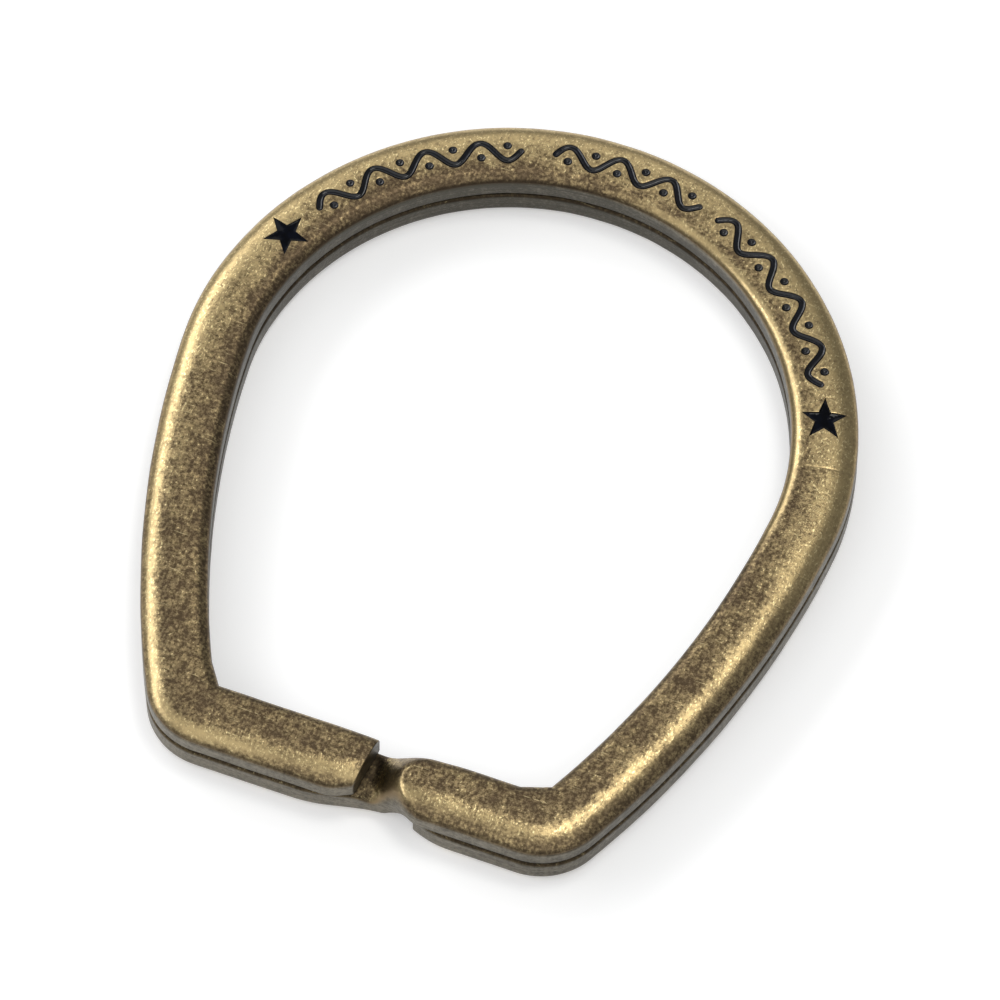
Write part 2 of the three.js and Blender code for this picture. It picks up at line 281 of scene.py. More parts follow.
def section(distance, inset):
    """Rings of (across, height), one for each distance, taken in by an inset.

    Across is positive on the outside of the outline."""
    on_leg = distance - TURN_LENGTH
    neck = neck_at(distance, *NECK_EDGE_REACH)
    bottom = bottom_at(distance)
    edges = []
    for quarter, side in enumerate(EDGE_SIDES):
        out = 1 if side == "outer" else -1
        thickness = top_at(distance, out * WIRE_WIDTH / 2) - bottom
        if quarter < 2:
            exposed = smoothstep(on_leg, *TOP_EXPOSED)
            full_reach, full_drop = TOP_EDGE[side], TOP_DROP[side]
        else:
            exposed = 1 - smoothstep(on_leg, *UNDER_COVERED)
            full_reach, full_drop = UNDER_EDGE, UNDER_EDGE
        if quarter == 0:
            full_reach = full_reach + (NECK_EDGE - full_reach) * neck
            full_drop = full_drop + (NECK_DROP - full_drop) * neck
        reach = FACING_EDGE + (full_reach - FACING_EDGE) * exposed
        drop = FACING_EDGE + (full_drop - FACING_EDGE) * exposed
        drop = np.minimum(drop, thickness * (TOP_DROP_SHARE if quarter < 2 else UNDER_DROP_SHARE))
        angle = np.radians(90 * (quarter + np.arange(EDGE_STEPS + 1) / EDGE_STEPS))
        across = out * (half_width(distance, side) - reach)
        across = across[:, None] + (reach - inset)[:, None] * np.cos(angle)
        fall = drop[:, None] - (drop - inset)[:, None] * np.abs(np.sin(angle))
        if quarter < 2:
            height = top_at(distance[:, None], across) - fall
        else:
            height = bottom[:, None] + fall
        edges.append((across, height))
    parts = []
    for quarter, steps in enumerate(FACE_STEPS):
        here, following = edges[quarter], edges[(quarter + 1) % 4]
        share = np.arange(1, steps) / steps
        across, height = ((1 - share) * a[:, -1:] + share * b[:, :1] for a, b in zip(here, following))
        if quarter == 0:
            height = top_at(distance[:, None], across) - inset[:, None]
        parts += [here, (across, height)]
    all_across, all_height = zip(*parts)
    return np.concatenate(all_across, 1), np.concatenate(all_height, 1)


def swell(points):
    """The tumbled surface's unevenness at points: a sum of plane waves in random directions."""
    rng = np.random.default_rng(SEED)
    total = np.zeros(points.shape[:-1])
    for wavelength, depth in SWELLS:
        for _ in range(SWELL_WAVES):
            direction = rng.normal(size=3)
            length = wavelength * rng.uniform(0.7, 1.5)
            direction *= 2 * math.pi / (length * np.linalg.norm(direction))
            phase = rng.uniform(0, 2 * math.pi)
            total += depth / math.sqrt(SWELL_WAVES / 2) * np.sin(points @ direction + phase)
    return np.clip(total, -SURFACE_ALLOWANCE, SURFACE_ALLOWANCE)


def wire_surface(distance, inset):
    """Points in millimetres on rings round the wire, and their normals."""
    across, height = section(distance, inset)
    centre, heading = centre_at(distance)
    outward = np.stack([np.sin(np.radians(heading)), -np.cos(np.radians(heading))], -1)
    forward = np.stack([np.cos(np.radians(heading)), np.sin(np.radians(heading))], -1)
    near_end = smoothstep(distance, WIRE_END - END_EASE_LENGTH, WIRE_END)
    lean = -END_SLANT * (across + WIRE_WIDTH / 2) * near_end[:, None]
    plan = centre[:, None, :] + across[..., None] * outward[:, None, :]
    plan = plan + lean[..., None] * forward[:, None, :]
    inner_share = smoothstep(-across, 0, WIRE_WIDTH / 2)
    plan = plan + inner_share[..., None] * bulge_at(distance)[:, None, :]
    points = np.concatenate([plan, height[..., None]], -1)
    around = np.roll(points, -1, 1) - np.roll(points, 1, 1)
    along = np.gradient(points, axis=0)
    normals = np.cross(along, around)
    normals /= np.maximum(np.linalg.norm(normals, axis=-1, keepdims=True), 1e-12)
    return points, normals


# ---- Meshes -----------------------------------------------------------------------------------------


def add_object(name, vertices, faces):
    """A new mesh object at the origin, from vertices in metres."""
    mesh = bpy.data.meshes.new(name)
    mesh.from_pydata(np.asarray(vertices).tolist(), [], faces)
    mesh.update()
    made = bpy.data.objects.new(name, mesh)
    bpy.context.scene.collection.objects.link(made)
    return made


def ring_faces(rings, count):
    """Quads between rings of points, and a cap on the first and the last."""
    first = np.arange(rings - 1)[:, None] * count + np.arange(count)[None, :]
    second = np.arange(rings - 1)[:, None] * count + (np.arange(count)[None, :] + 1) % count
    quads = np.stack([first, first + count, second + count, second], -1).reshape(-1, 4)
    last = (rings - 1) * count
    caps = [list(range(count)), list(range(last + count - 1, last - 1, -1))]
    return quads.tolist() + caps


def spaced(start, end, step):
    """Evenly spaced distances from a start to an end, at most a step apart."""
    return np.linspace(start, end, max(2, math.ceil((end - start) / step)) + 1)


def add_wire(name, start, end):
    """One piece of wire between two distances. A free end has a rounded rim."""
    fine = [WIRE_START, WIRE_START + END_EASE_LENGTH]
    fine += [TURN_LENGTH - FINE_BEFORE, TURN_LENGTH + FINE_AFTER]
    fine += [WIRE_END - END_EASE_LENGTH, WIRE_END]
    stops = sorted({start, end, *[f for f in fine if start < f < end]})
    spans = []
    for a, b in zip(stops, stops[1:]):
        middle = (a + b) / 2
        is_fine = any(low < middle < high for low, high in zip(fine[::2], fine[1::2]))
        spans.append(spaced(a, b, FINE_SPACING if is_fine else RING_SPACING))
    distance = np.unique(np.concatenate(spans).round(6))
    inset = np.zeros_like(distance)
    angles = np.radians([0, 22, 45, 68, 90])
    rim_along = END_ROUNDING * (1 - np.cos(angles))
    rim_in = END_ROUNDING * (1 - np.sin(angles))
    if start == WIRE_START:
        keep = distance > start + END_ROUNDING
        distance = np.concatenate([start + rim_along, distance[keep]])
        inset = np.concatenate([rim_in, inset[keep]])
    if end == WIRE_END:
        keep = distance < end - END_ROUNDING
        distance = np.concatenate([distance[keep], end - rim_along[::-1]])
        inset = np.concatenate([inset[keep], rim_in[::-1]])
    points, normals = wire_surface(distance, inset)
    points = points - (SURFACE_ALLOWANCE - swell(points))[..., None] * normals
    return add_object(name, points.reshape(-1, 3) * MM, ring_faces(*points.shape[:2]))


def set_attribute(piece, name, kind, values):
    """Gives each vertex of a piece a value that a material can read."""
    attribute = piece.data.attributes.new(name, kind, "POINT")
    field = "vector" if kind == "FLOAT_VECTOR" else "value"
    attribute.data.foreach_set(field, np.asarray(values, np.float32).ravel())


def vertices_of(piece):
    """A piece's vertices in millimetres."""
    places = np.zeros(len(piece.data.vertices) * 3)
    piece.data.vertices.foreach_get("co", places)
    return places.reshape(-1, 3) / MM


def make_smooth(piece, sharpest=40):
    """Smooth shading, except across edges sharper than an angle."""
    piece.data.shade_smooth()
    piece.data.set_sharp_from_angle(angle=math.radians(sharpest))


# ---- The enamelled border ---------------------------------------------------------------------------


def border_point(angle, outside):
    """A point of the border, from its angle clockwise from the arc's top and how far out it lies."""
    radius = BORDER_RADIUS + outside
    angle = np.radians(angle)
    return np.stack([radius * np.sin(angle), ARC_CENTRE_Y + radius * np.cos(angle)], -1)


def wave_outline(start, end, periods):
    """An outline function: the wave's closed outline at a share of its half width, or grown."""

    def outline(share, grow=0.0):
        half = STROKE_WIDTH / 2 * share + grow
        t = np.linspace(0, 1, WAVE_STEPS * periods + 1)
        swing = WAVE_SWING * np.sin(2 * math.pi * periods * t)
        line = border_point(start + (end - start) * t, swing)
        along = np.gradient(line, axis=0)
        along /= np.linalg.norm(along, axis=1, keepdims=True)
        left = np.stack([-along[:, 1], along[:, 0]], -1)
        turn = np.linspace(0, math.pi, WAVE_END_STEPS + 1)[1:-1, None]
        far = line[-1] + half * (np.cos(turn) * left[-1] + np.sin(turn) * along[-1])
        near = line[0] + half * (-np.cos(turn) * left[0] - np.sin(turn) * along[0])
        rounded = [line + half * left, far, (line - half * left)[::-1], near]
        return np.concatenate(rounded)

    return outline


def dot_outline(centre):
    """An outline function for a round dot."""

    def outline(share, grow=0.0):
        angle = np.linspace(0, 2 * math.pi, DOT_STEPS + 1)[:-1]
        return centre + (DOT_RADIUS * share + grow) * np.stack([np.sin(angle), np.cos(angle)], -1)

    return outline


def star_outline(angle, tilt):
    """An outline function for a star, with divided sides that can follow the wire's surface."""
    centre = border_point(angle, 0)
    bearing = np.radians(angle + tilt + 36 * np.arange(10))
    spokes = np.stack([np.sin(bearing), np.cos(bearing)], -1)

    def outline(share, grow=0.0):
        tip, waist = STAR_RADIUS * share + 2 * grow, STAR_WAIST * share + grow
        corners = spokes * np.where(np.arange(10) % 2 == 0, tip, waist)[:, None]
        following = np.roll(corners, -1, 0)
        shares = np.arange(STAR_SIDE_STEPS)[None, :, None] / STAR_SIDE_STEPS
        sides = corners[:, None] * (1 - shares) + following[:, None] * shares
        return centre + sides.reshape(-1, 2)

    return outline


def border_pieces():
    """Every piece of enamel: its name and its outline function."""
    made = [(f"enamel_star_{side}", star_outline(angle, tilt)) for side, angle, tilt in STARS]
    for side, start, end, periods in WAVES:
        made.append((f"enamel_wave_{side}", wave_outline(start, end, periods)))
        for i in range(2 * periods):
            angle = start + (end - start) * (i + 0.5) / (2 * periods)
            outside = DOT_OFFSET if i % 2 else -DOT_OFFSET
            made.append((f"enamel_dot_{side}_{i + 1}", dot_outline(border_point(angle, outside))))
    return made


def face_height(plan):
    """The height of the wire's top face on the arc, without its unevenness, at points in plan."""
    across = np.hypot(plan[:, 0], plan[:, 1] - ARC_CENTRE_Y) - ARC_RADIUS
    reach = np.where(across > 0, TOP_EDGE["outer"], TOP_EDGE["inner"])
    past = np.clip((np.abs(across) - WIRE_WIDTH / 2 + reach) / reach, 0, 0.98)
    crown = CROWN * (across / (WIRE_WIDTH / 2)) ** 2
    drop = np.where(across > 0, TOP_DROP["outer"], TOP_DROP["inner"])
    return TOP - crown - drop * (1 - np.sqrt(1 - past * past))


def column(outline, levels):
    """Points and faces of a closed body through levels of (share, grow, height)."""
    rings = []
    for share, grow, height in levels:
        plan = outline(share, grow)
        rings.append(np.concatenate([plan, np.broadcast_to(height(plan), len(plan))[:, None]], 1))
    return np.concatenate(rings), ring_faces(len(rings), len(rings[0]))


# An enamel surface's profile: shares of the outline's half width, with how deep it lies there.
STROKE_PROFILE = [
    (1, 0),
    (0.93, 0.02),
    (0.86, 0.034),
    (0.6, 0.06),
    (0.36, 0.082),
    (0.2, 0.088),
    (0.05, 0.09),
]
STAR_PROFILE = [
    (1, 0),
    (0.985, 0.012),
    (0.965, 0.03),
    (0.94, 0.042),
    (0.9, 0.048),
    (0.5, 0.05),
    (0.05, 0.05),
]


def add_enamel(name, outline, profile):
    """Enamel lies in its recess with a hollow surface, which climbs to the metal at its outline."""
    levels = [(0.08, 0, lambda plan: ENAMEL_BED), (1, 0, lambda plan: ENAMEL_BED)]
    for share, depth in profile:
        below = SURFACE_ALLOWANCE + ENAMEL_RIM + depth
        levels.append((share, 0, lambda plan, below=below: face_height(plan) - below))
    points, faces = column(outline, levels)
    return add_object(name, points * MM, faces)


def cut_recesses(wire, outlines):
    """Cuts the border's recesses into the wire, with a fine chamfer round each."""
    rim_grow = RECESS_GROW + 2 * RECESS_CHAMFER
    levels = [
        (1, RECESS_GROW, lambda plan: TOP - RECESS_DEPTH),
        (1, RECESS_GROW, lambda plan: face_height(plan) - SURFACE_ALLOWANCE - RECESS_CHAMFER),
        (1, rim_grow, lambda plan: face_height(plan) - SURFACE_ALLOWANCE + RECESS_CHAMFER),
        (1, rim_grow, lambda plan: TOP + RECESS_DEPTH),
    ]
    points, faces = [], []
    for outline in outlines:
        new_points, new_faces = column(outline, levels)
        offset = sum(len(p) for p in points)
        points.append(new_points)
        faces += [[offset + i for i in face] for face in new_faces]
    cutter = add_object("recess_cutter", np.concatenate(points) * MM, faces)
    cut = wire.modifiers.new("recesses", "BOOLEAN")
    cut.operation = "DIFFERENCE"
    cut.solver = "EXACT"
    cut.object = cutter
    depsgraph = bpy.context.evaluated_depsgraph_get()
    mesh = bpy.data.meshes.new_from_object(wire.evaluated_get(depsgraph))
    wire.modifiers.clear()
    wire.data = mesh
    bpy.data.objects.remove(cutter)


# ---- Materials --------------------------------------------------------------------------------------


class Nodes:
    """A short way to write a material's nodes."""

    def __init__(self, name):
        self.material = bpy.data.materials.new(name)
        self.material.use_nodes = True
        self.tree = self.material.node_tree
        self.tree.nodes.clear()

    def add(self, kind, inputs=None, **settings):
        """A node whose inputs are values, or the outputs of other nodes."""
        node = self.tree.nodes.new("ShaderNode" + kind)
        for key, value in settings.items():
            setattr(node, key, value)
        for key, value in (inputs or {}).items():
            socket = node.inputs[key]
            if isinstance(value, bpy.types.NodeSocket):
                self.tree.links.new(value, socket)
            else:
                socket.default_value = value
        return node

    def math(self, operation, a, b=0.0, clamp=False):
        return self.add("Math", {0: a, 1: b}, operation=operation, use_clamp=clamp).outputs[0]

    def attribute(self, name, output="Vector"):
        return self.add("Attribute", attribute_name=name).outputs[output]

    def weigh(self, *terms):
        """A sum of values, each of them less its middle and times its weight."""
        total = -sum(middle * weight for _, middle, weight in terms)
        for value, _, weight in terms:
            inputs = {0: value, 1: weight, 2: total}
            total = self.add("Math", inputs, operation="MULTIPLY_ADD").outputs[0]
        return total

    def fade(self, value, by, share=1.0):
        """A value that another one takes down, by up to a share of it."""
        kept = self.math("SUBTRACT", 1.0, self.math("MULTIPLY", by, share))
        return self.math("MULTIPLY", value, kept)

    def mapping(self, vector, scale, turn=0.0):
        rotation = (0, 0, math.radians(turn))
        inputs = {"Vector": vector, "Scale": scale, "Rotation": rotation}
        return self.add("Mapping", inputs).outputs[0]

    def noise(self, vector, scale, detail=3.0, roughness=0.55, distortion=0.0):
        inputs = {"Vector": vector, "Scale": scale, "Detail": detail, "Roughness": roughness}
        inputs["Distortion"] = distortion
        return self.add("TexNoise", inputs).outputs["Fac"]

    def range(self, value, low, high, to_low=0.0, to_high=1.0):
        """A smooth step from one range to another."""
        inputs = {"Value": value, "From Min": low, "From Max": high}
        inputs.update({"To Min": to_low, "To Max": to_high})
        return self.add("MapRange", inputs, interpolation_type="SMOOTHSTEP").outputs[0]

    def mix(self, factor, a, b):
        """A colour between two colours."""
        return self.add("Mix", {0: factor, 6: a, 7: b}, data_type="RGBA").outputs[2]

    def mix_values(self, factor, a, b):
        return self.add("Mix", {0: factor, 2: a, 3: b}, data_type="FLOAT").outputs[0]

    def bump(self, height, distance, strength=1.0, normal=None):
        inputs = {"Height": height, "Distance": distance, "Strength": strength}
        if normal is not None:
            inputs["Normal"] = normal
        return self.add("Bump", inputs).outputs[0]

    def finish(self, shader):
        self.add("OutputMaterial", {"Surface": shader.outputs[0]})
        return self.material


def colour(red, green, blue):
    return (red, green, blue, 1)


# The dark patina's two tones, gold where it is rubbed thin, bare metal, and the sides, which are greyer
# than the shoulders above them. Painted shade, near black, fills the seam between the coils and the gap
# beside the free end. Reliefs are depths in metres.
PATINA_DARK = colour(0.082, 0.058, 0.034)
PATINA_LIGHT = colour(0.145, 0.104, 0.062)
RUBBED_GOLD = colour(0.50, 0.38, 0.19)
BARE_METAL = colour(0.88, 0.73, 0.39)
SIDE_DARK = colour(0.068, 0.062, 0.048)
SIDE_LIGHT = colour(0.22, 0.196, 0.152)
SHOULDER_DARK = colour(0.078, 0.056, 0.036)
SHOULDER_LIGHT = colour(0.27, 0.20, 0.115)
PAINTED_SHADE = colour(0.018, 0.016, 0.012)
BRASS_ROUGHNESS = 0.42
BRASS_RELIEF = 0.00004

ENAMEL_DARK = colour(0.0006, 0.0007, 0.0014)
ENAMEL_LIGHT = colour(0.002, 0.003, 0.007)
ENAMEL_RELIEF = 0.00002

FLOOR_DARK = colour(0.84, 0.84, 0.84)
FLOOR_LIGHT = colour(0.87, 0.87, 0.87)
FLOOR_GLOW = 0.3


def brass_material():
    """Tumbled antique brass: rubbed gold over a brown patina, with painted highlights where the faces
    catch the light and painted shade between the coils and beside the free end.
    """
    n = Nodes("antique_brass")
    rest, flow = n.attribute("rest"), n.attribute("flow")
    wear_and_light, painted_shade = n.attribute("wear_and_light", "Fac"), n.attribute("painted_shade", "Fac")
    side, edge = n.attribute("side", "Fac"), n.attribute("edge", "Fac")

    patches = n.noise(rest, 0.55, 3, 0.55)
    blotches = n.noise(rest, 2.1, 4, 0.6, 0.3)
    grain = n.noise(rest, 6.5, 3, 0.65)
    flecks = n.noise(n.mapping(rest, (11.5, 6.5, 9), 24), 1.0, 2, 0.6)
    streaks = n.noise(n.mapping(flow, (0.25, 9, 1)), 1.0, 3, 0.6)
    strokes = n.noise(n.mapping(rest, (7.5, 0.9, 1), 28), 1.0, 2, 0.5)
    scratches = n.noise(n.mapping(rest, (0.4, 12, 1), -37), 1.0, 2, 0.5)

    # How much of the patina is rubbed off: in patches, in grain, in short strokes, and where it wears;
    # the wear also carries painted highlights and painted shade.
    mottle = n.weigh(
        (patches, 0, 0.35),
        (blotches, 0, 0.55),
        (grain, 0.45, 1),
        (strokes, 0.5, 0.3),
        (wear_and_light, 0.5, 0.4),
    )
    # Rounded edges are rubbed to an even gold, which also smooths and brightens their highlights: partly
    # wear, partly painted highlight.
    rubbed_and_lit_edge = n.math("MULTIPLY", edge, n.range(wear_and_light, 0.1, 0.7))
    rubbed = n.mix_values(n.math("MULTIPLY", rubbed_and_lit_edge, 0.7), n.range(mottle, 0.24, 0.84), 0.85)
    rubbed = n.fade(rubbed, painted_shade)
    bare = n.math("MULTIPLY", n.range(flecks, 0.57, 0.66), n.range(mottle, 0.42, 0.62))
    line = n.math("MULTIPLY", n.range(scratches, 0.665, 0.70), n.range(blotches, 0.42, 0.56))
    bare = n.math("MAXIMUM", bare, n.math("MULTIPLY", line, 0.5), clamp=True)
    bare = n.fade(bare, edge, 0.6)

    patina = n.mix(n.range(grain, 0.36, 0.64), PATINA_DARK, PATINA_LIGHT)
    face = n.mix(rubbed, patina, RUBBED_GOLD)
    face = n.mix(bare, face, BARE_METAL)
    tone = n.weigh((streaks, 0, 0.5), (mottle, 0, 0.5), (wear_and_light, 0.3, 0.5))
    tone = n.range(tone, 0.25, 0.75)
    # The rounded shoulders turn brown: partly their own colour, partly painted shade where the rounded
    # edges turn away from the light.
    surface = n.mix(n.range(side, 0.0, 0.6), face, n.mix(tone, SHOULDER_DARK, SHOULDER_LIGHT))
    surface = n.mix(n.range(side, 0.5, 1.0), surface, n.mix(tone, SIDE_DARK, SIDE_LIGHT))
    # Painted shade, near black, in the seam between the coils and in the gap beside the upper coil's free
    # end.
    surface = n.mix(painted_shade, surface, PAINTED_SHADE)

    shine = n.weigh((rubbed, 0, 0.1), (edge, 0, 0.06), (painted_shade, 0, -0.2))
    rough = n.math("SUBTRACT", BRASS_ROUGHNESS, shine, clamp=True)

    relief = n.weigh((grain, 0, 0.6), (flecks, 0, 0.5), (line, 0, -0.3))
    relief = n.fade(relief, edge, 0.95)
    relief = n.math("MULTIPLY", relief, n.range(wear_and_light, 0.5, 0.95, 1.0, 0.5))
    lines = n.math("MULTIPLY", streaks, n.math("ADD", n.math("MULTIPLY", side, 0.6), 0.1))
    normal = n.bump(relief, BRASS_RELIEF, 0.65)
    normal = n.bump(lines, BRASS_RELIEF, 0.6, normal)
    inputs = {"Base Color": surface, "Metallic": 1.0, "Roughness": rough, "Normal": normal}
    return n.finish(n.add("BsdfPrincipled", inputs))


def enamel_material():
    """Glossy blue-black enamel, a little uneven."""
    n = Nodes("enamel")
    rest = n.attribute("rest")
    tone = n.range(n.noise(rest, 2.2, 3), 0.35, 0.7)
    surface = n.mix(tone, ENAMEL_DARK, ENAMEL_LIGHT)
    rough = n.range(n.noise(rest, 6.0, 2), 0.3, 0.7, 0.06, 0.13)
    normal = n.bump(n.noise(rest, 4.5, 2), ENAMEL_RELIEF, 0.5)
    gloss = n.range(n.attribute("gloss", "Fac"), 0, 1, 0.15, 0.45)
    inputs = {"Base Color": surface, "Roughness": rough, "Normal": normal}
    inputs["Specular IOR Level"] = gloss
    return n.finish(n.add("BsdfPrincipled", inputs))


def floor_material():
    """Matt and near white, glowing a little so that shadows on it stay light."""
    n = Nodes("studio_floor")
    place = n.add("TexCoord").outputs["Object"]
    tone = n.noise(place, 60.0, 2)
    surface = n.mix(tone, FLOOR_DARK, FLOOR_LIGHT)
    inputs = {"Base Color": surface, "Roughness": 0.9, "Specular IOR Level": 0.1}
    inputs["Emission Color"] = colour(1, 1, 1)
    inputs["Emission Strength"] = FLOOR_GLOW
    return n.finish(n.add("BsdfPrincipled", inputs))


# ---- Camera, light and floor ------------------------------------------------------------------------

# Where the camera stands, in degrees from the front and above the floor, and how far it is tilted.
CAMERA_AZIMUTH = 19.57
CAMERA_ELEVATION = 61.48
CAMERA_ROLL = 0.953
CAMERA_DISTANCE = 0.5342
CAMERA_LENS = 409.8
CAMERA_SENSOR = 36
CAMERA_SHIFT = (0.00605, -0.008)

# Softboxes: name, direction from the object, distance, size, power in watts and tint.
SOFTBOXES = [
    ("left_softbox", (-0.78, 0.08, 0.56), 0.5, (0.6, 0.13), 1.0, (0.97, 0.98, 1.0)),
    ("overhead_softbox", (0.13, 0.2, 0.97), 0.5, (0.15, 0.15), 0.5, (1.0, 0.98, 0.94)),
    ("back_softbox", (-0.42, 0.68, 0.58), 0.25, (0.3, 0.14), 0.11, (1.0, 0.99, 0.97)),
    ("front_softbox", (0.12, -0.5, 0.86), 0.64, (1.2, 0.6), 1.9, (1.0, 0.99, 0.97)),
]
SKY_TINT = colour(0.93, 0.96, 1.0)
SKY_STRENGTH = 0.3
# The floor lies a hair below the ring, so that their surfaces don't meet.
FLOOR_DROP = 0.00002


def add_camera():
    """A long lens that looks down on the ring from the front."""
    angles = (CAMERA_AZIMUTH, CAMERA_ELEVATION, CAMERA_ROLL)
    azimuth, elevation, roll = (math.radians(angle) for angle in angles)
    level = math.cos(elevation)
    back = Vector((math.sin(azimuth) * level, -math.cos(azimuth) * level, math.sin(elevation)))
    right = (-back).cross(Vector((0, 0, 1))).normalized()
    up = right.cross(-back)
    tilted_right = math.cos(roll) * right + math.sin(roll) * up
    tilted_up = math.cos(roll) * up - math.sin(roll) * right
    data = bpy.data.cameras.new("camera")
    data.sensor_width = CAMERA_SENSOR
    data.lens = CAMERA_LENS
    data.shift_x, data.shift_y = CAMERA_SHIFT
    data.clip_start = 0.05
    data.clip_end = 5
    camera = bpy.data.objects.new("camera", data)
    turned = Matrix((tilted_right, tilted_up, back)).transposed().to_4x4()
    camera.matrix_world = Matrix.Translation(back * CAMERA_DISTANCE) @ turned
    bpy.context.scene.collection.objects.link(camera)
    bpy.context.scene.camera = camera


def add_area(name, direction, distance, size, power, tint):
    """A softbox that faces the object from a direction."""
    data = bpy.data.lights.new(name, "AREA")
    data.shape = "RECTANGLE"
    data.size, data.size_y = size
    data.energy = power
    data.color = tint
    lamp = bpy.data.objects.new(name, data)
    way = Vector(direction).normalized()
    lamp.location = way * distance
    lamp.rotation_mode = "QUATERNION"
    lamp.rotation_quaternion = way.to_track_quat("Z", "Y")
    bpy.context.scene.collection.objects.link(lamp)


def add_studio():
    """A pale floor under softboxes and a dim, even sky."""
    world = bpy.data.worlds.new("studio")
    world.use_nodes = True
    sky = world.node_tree.nodes["Background"]
    sky.inputs["Color"].default_value = SKY_TINT
    sky.inputs["Strength"].default_value = SKY_STRENGTH
    bpy.context.scene.world = world
    for softbox in SOFTBOXES:
        add_area(*softbox)
    corners = [(-1, -1, 0), (1, -1, 0), (1, 1, 0), (-1, 1, 0)]
    floor = add_object("floor", corners, [[0, 1, 2, 3]])
    floor.location.z = -FLOOR_DROP
    floor.data.materials.append(floor_material())


# ---- The object -------------------------------------------------------------------------------------


def place_on_wire(distance):
    """A place on the centreline in metres, at half the ring's height."""
    x, y = centre_at(np.array([distance]))[0][0]
    return Vector((x * MM, y * MM, TOP * MM / 2))


# The bodies that each piece of wire spans, where it would bend, and the design's sections that it stands
# for.
# The bend places are listed but not applied: a whole coil's would lie across the arc, and its free end's
# after the shoulder.
BEND_LENGTH = 9
COIL_BEND = (Vector((0.004, 0, 0)), Vector((-0.008, 0, 0)))
WIRE = [
    {
        "name": "wire_lower_end",
        "span": (WIRE_START, RIGHT_SHOULDER),
        "bodies": ("lower_coil_leg", "lower_coil_arc"),
        "bend": (place_on_wire(RIGHT_SHOULDER - BEND_LENGTH), place_on_wire(RIGHT_SHOULDER)),
        "nodes": ["lower_right_leg"],
    },
    {
        "name": "wire_lower_coil",
        "span": (RIGHT_SHOULDER, LEFT_SHOULDER),
        "bodies": ("lower_coil_arc", "ring_body"),
        "bend": (-COIL_BEND[1], -COIL_BEND[0]),
        "nodes": ["lower_right_arc", "lower_left_arc"],
    },
    {
        "name": "wire_crossover",
        "span": (LEFT_SHOULDER, TURN_LENGTH + RIGHT_SHOULDER),
        "bodies": ("ring_body",),
        "nodes": ["lower_left_leg", "crossover", "upper_right_leg"],
    },
    {
        "name": "wire_upper_coil",
        "span": (TURN_LENGTH + RIGHT_SHOULDER, TURN_LENGTH + LEFT_SHOULDER),
        "bodies": ("ring_body", "upper_coil_arc"),
        "bend": COIL_BEND,
        "nodes": ["upper_right_arc", "upper_left_arc"],
    },
    {
        "name": "wire_upper_end",
        "span": (TURN_LENGTH + LEFT_SHOULDER, WIRE_END),
        "bodies": ("upper_coil_arc", "upper_coil_leg"),
        "bend": (place_on_wire(LEFT_SHOULDER), place_on_wire(LEFT_SHOULDER + BEND_LENGTH)),
        "nodes": ["upper_left_leg"],
    },
]


# Wear, painted light and painted shade, as shares: the least wear, the painted light that the crossover's
# slope gains, and the most painted shade in the seam between the coils and in the gap beside the upper
# coil's free end. The width of the low band's painted highlight and the gap's place on the leg are in
# millimetres.
LEAST_WEAR = 0.1
SLOPE_LIGHT = 0.62
BAND_WIDTH = 0.32
SEAM_SHADE = 0.68
GAP_SHADE = 0.45
GAP_CENTRE = 0.15


def nearest_on_wire(points, span):
    """The nearest place on a span of the centreline to points, and how far outside it they are."""
    distance = spaced(*span, 0.1)
    line, heading = centre_at(distance)
    found = np.zeros(len(points), int)
    batch = 4000
    for first in range(0, len(points), batch):
        part = points[first : first + batch, None, :2]
        found[first : first + batch] = ((part - line[None]) ** 2).sum(-1).argmin(1)
    turn = np.radians(heading[found])
    outward = np.stack([np.sin(turn), -np.cos(turn)], -1)
    return distance[found], ((points[:, :2] - line[found]) * outward).sum(-1)


def face_wear_and_light(points, across):
    """How much the upper face is rubbed, with painted highlights and painted shade, from its place and
    how far out on the wire it is.
    """
    x, y = points[:, 0], points[:, 1]
    left = smoothstep(-x, 0, 9)
    # High on the ring the outer half is lighter and the inner half stays dark, most of all on the left:
    # partly wear, partly a painted highlight on the outer half and painted shade on the inner one.
    wear_and_light = 0.5 + 0.5 * smoothstep(across, -1.4, 1.2) - 0.45 * smoothstep(-across, 0.3, 1.3)
    wear_and_light += left * (0.2 * smoothstep(across, 0, 1.2) - 0.4 * smoothstep(-across, -0.6, 1.4))
    wear_and_light -= 0.3 * (1 - smoothstep(y, -16, 4))
    # On the right the inner edge is made lighter too: a painted highlight.
    right_up = smoothstep(x, -2, 6) * smoothstep(y, -3, 3)
    wear_and_light += 0.75 * right_up * smoothstep(-across, 0.85, 1.25)
    # Low on the ring only a narrow band is lighter, where the face turns over into its outer edge: a
    # painted highlight, with a little painted shade beyond it.
    low = 1 - smoothstep(y, -9, 7)
    band_at = 0.62 + 0.5 * left
    band = np.exp(-(((across - band_at) / BAND_WIDTH) ** 2))
    banded = 0.22 + 0.75 * band - 0.05 * smoothstep(across - band_at, 0.2, 0.6)
    return wear_and_light + low * (banded - wear_and_light)


def painted_shade_at(on_leg, height, upright):
    """Painted shade: between the coils, and in the gap beside the upper coil's free end."""
    between = (WIRE_THICKNESS + CLIMB) / 2
    clear_of_neck = smoothstep(np.abs(on_leg - NECK_CENTRE), 1.1, 1.9)
    seam = (1 - smoothstep(np.abs(height - between), 0.04, 0.34)) * clear_of_neck
    gap = 1 - smoothstep(np.abs(on_leg - GAP_CENTRE), 0.2, 0.5)
    gap = gap * (1 - smoothstep(height, WIRE_THICKNESS + 0.1, TOP - 0.5)) * smoothstep(upright, 0.3, 0.6)
    return np.maximum(SEAM_SHADE * seam, GAP_SHADE * gap)


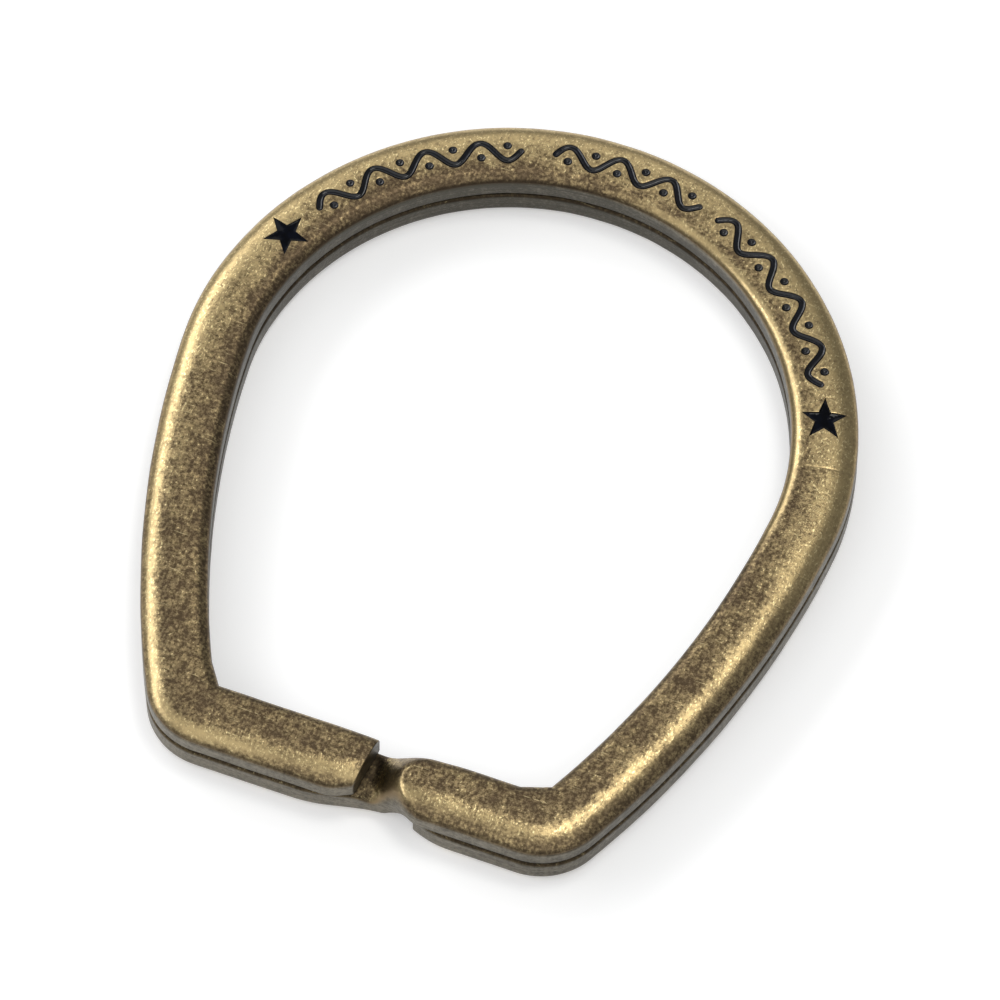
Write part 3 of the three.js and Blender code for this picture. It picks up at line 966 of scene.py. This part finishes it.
def paint_brass(piece, span):
    """The attributes that the brass material reads: places at rest and along the wire, wear with painted
    highlights, painted shade, the sides and the edges.
    """
    points = vertices_of(piece)
    along, across = nearest_on_wire(points, span)
    on_leg = along - TURN_LENGTH
    normals = np.zeros(len(points) * 3)
    piece.data.vertices.foreach_get("normal", normals)
    upright = normals.reshape(-1, 3)[:, 2]
    x, height = points[:, 0], points[:, 2]
    exposed = smoothstep(height, TOP - 0.9, TOP - 0.1)
    side = 1 - smoothstep(np.abs(upright), 0.15, 0.85)
    # The edges are rubbed less on the far left, a painted shade that dims the highlight there.
    edge = smoothstep(1 - upright, 0.012, 0.1) * exposed * (1 - 0.3 * smoothstep(-x, 8, 13))
    # The outer side is rubbed a little, less so on the right. The crossover's slope is made lighter:
    # painted light on a slope that lies in shade.
    side_wear = 0.35 * smoothstep(across, -0.5, 0.5) * (1 - 0.5 * smoothstep(x, 3, 12))
    wear_and_light = LEAST_WEAR + side_wear * (1 - exposed) + (face_wear_and_light(points, across) - LEAST_WEAR) * exposed
    on_slope = smoothstep(on_leg, 0.35, 0.8) * (1 - smoothstep(on_leg, 1.7, 2.4))
    wear_and_light += SLOPE_LIGHT * on_slope * (1 - exposed) * smoothstep(upright, 0.3, 0.6)
    painted_shade = painted_shade_at(on_leg, height, upright)
    set_attribute(piece, "rest", "FLOAT_VECTOR", points)
    set_attribute(piece, "flow", "FLOAT_VECTOR", np.stack([along, across - height, height], -1))
    set_attribute(piece, "wear_and_light", "FLOAT", np.clip(wear_and_light, 0, 1))
    set_attribute(piece, "painted_shade", "FLOAT", np.clip(painted_shade, 0, 1))
    set_attribute(piece, "side", "FLOAT", side)
    set_attribute(piece, "edge", "FLOAT", edge)


def add_ring():
    """The wire and the enamel, each piece standing for its design nodes; only the crossover rides on its
    body.
    """
    brass = brass_material()
    enamel = enamel_material()
    border = border_pieces()
    for spec in WIRE:
        piece = add_wire(spec["name"], *spec["span"])
        if spec["name"] == "wire_upper_coil":
            cut_recesses(piece, [outline for _, outline in border])
        paint_brass(piece, spec["span"])
        make_smooth(piece)
        piece.data.materials.clear()
        piece.data.materials.append(brass)
        if "bend" in spec:
            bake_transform(piece)
        else:
            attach(piece, *spec["bodies"])
        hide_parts(*spec["nodes"])
    for name, outline in border:
        is_star = "star" in name
        piece = add_enamel(name + "_glaze", outline, STAR_PROFILE if is_star else STROKE_PROFILE)
        points = vertices_of(piece)
        set_attribute(piece, "rest", "FLOAT_VECTOR", points)
        set_attribute(piece, "gloss", "FLOAT", np.full(len(points), 0.0 if is_star else 1.0))
        make_smooth(piece, 60)
        piece.data.materials.append(enamel)
        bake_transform(piece)
        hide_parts(name)


bpy.context.scene.view_settings.view_transform = "Standard"
add_camera()
add_studio()
add_ring()
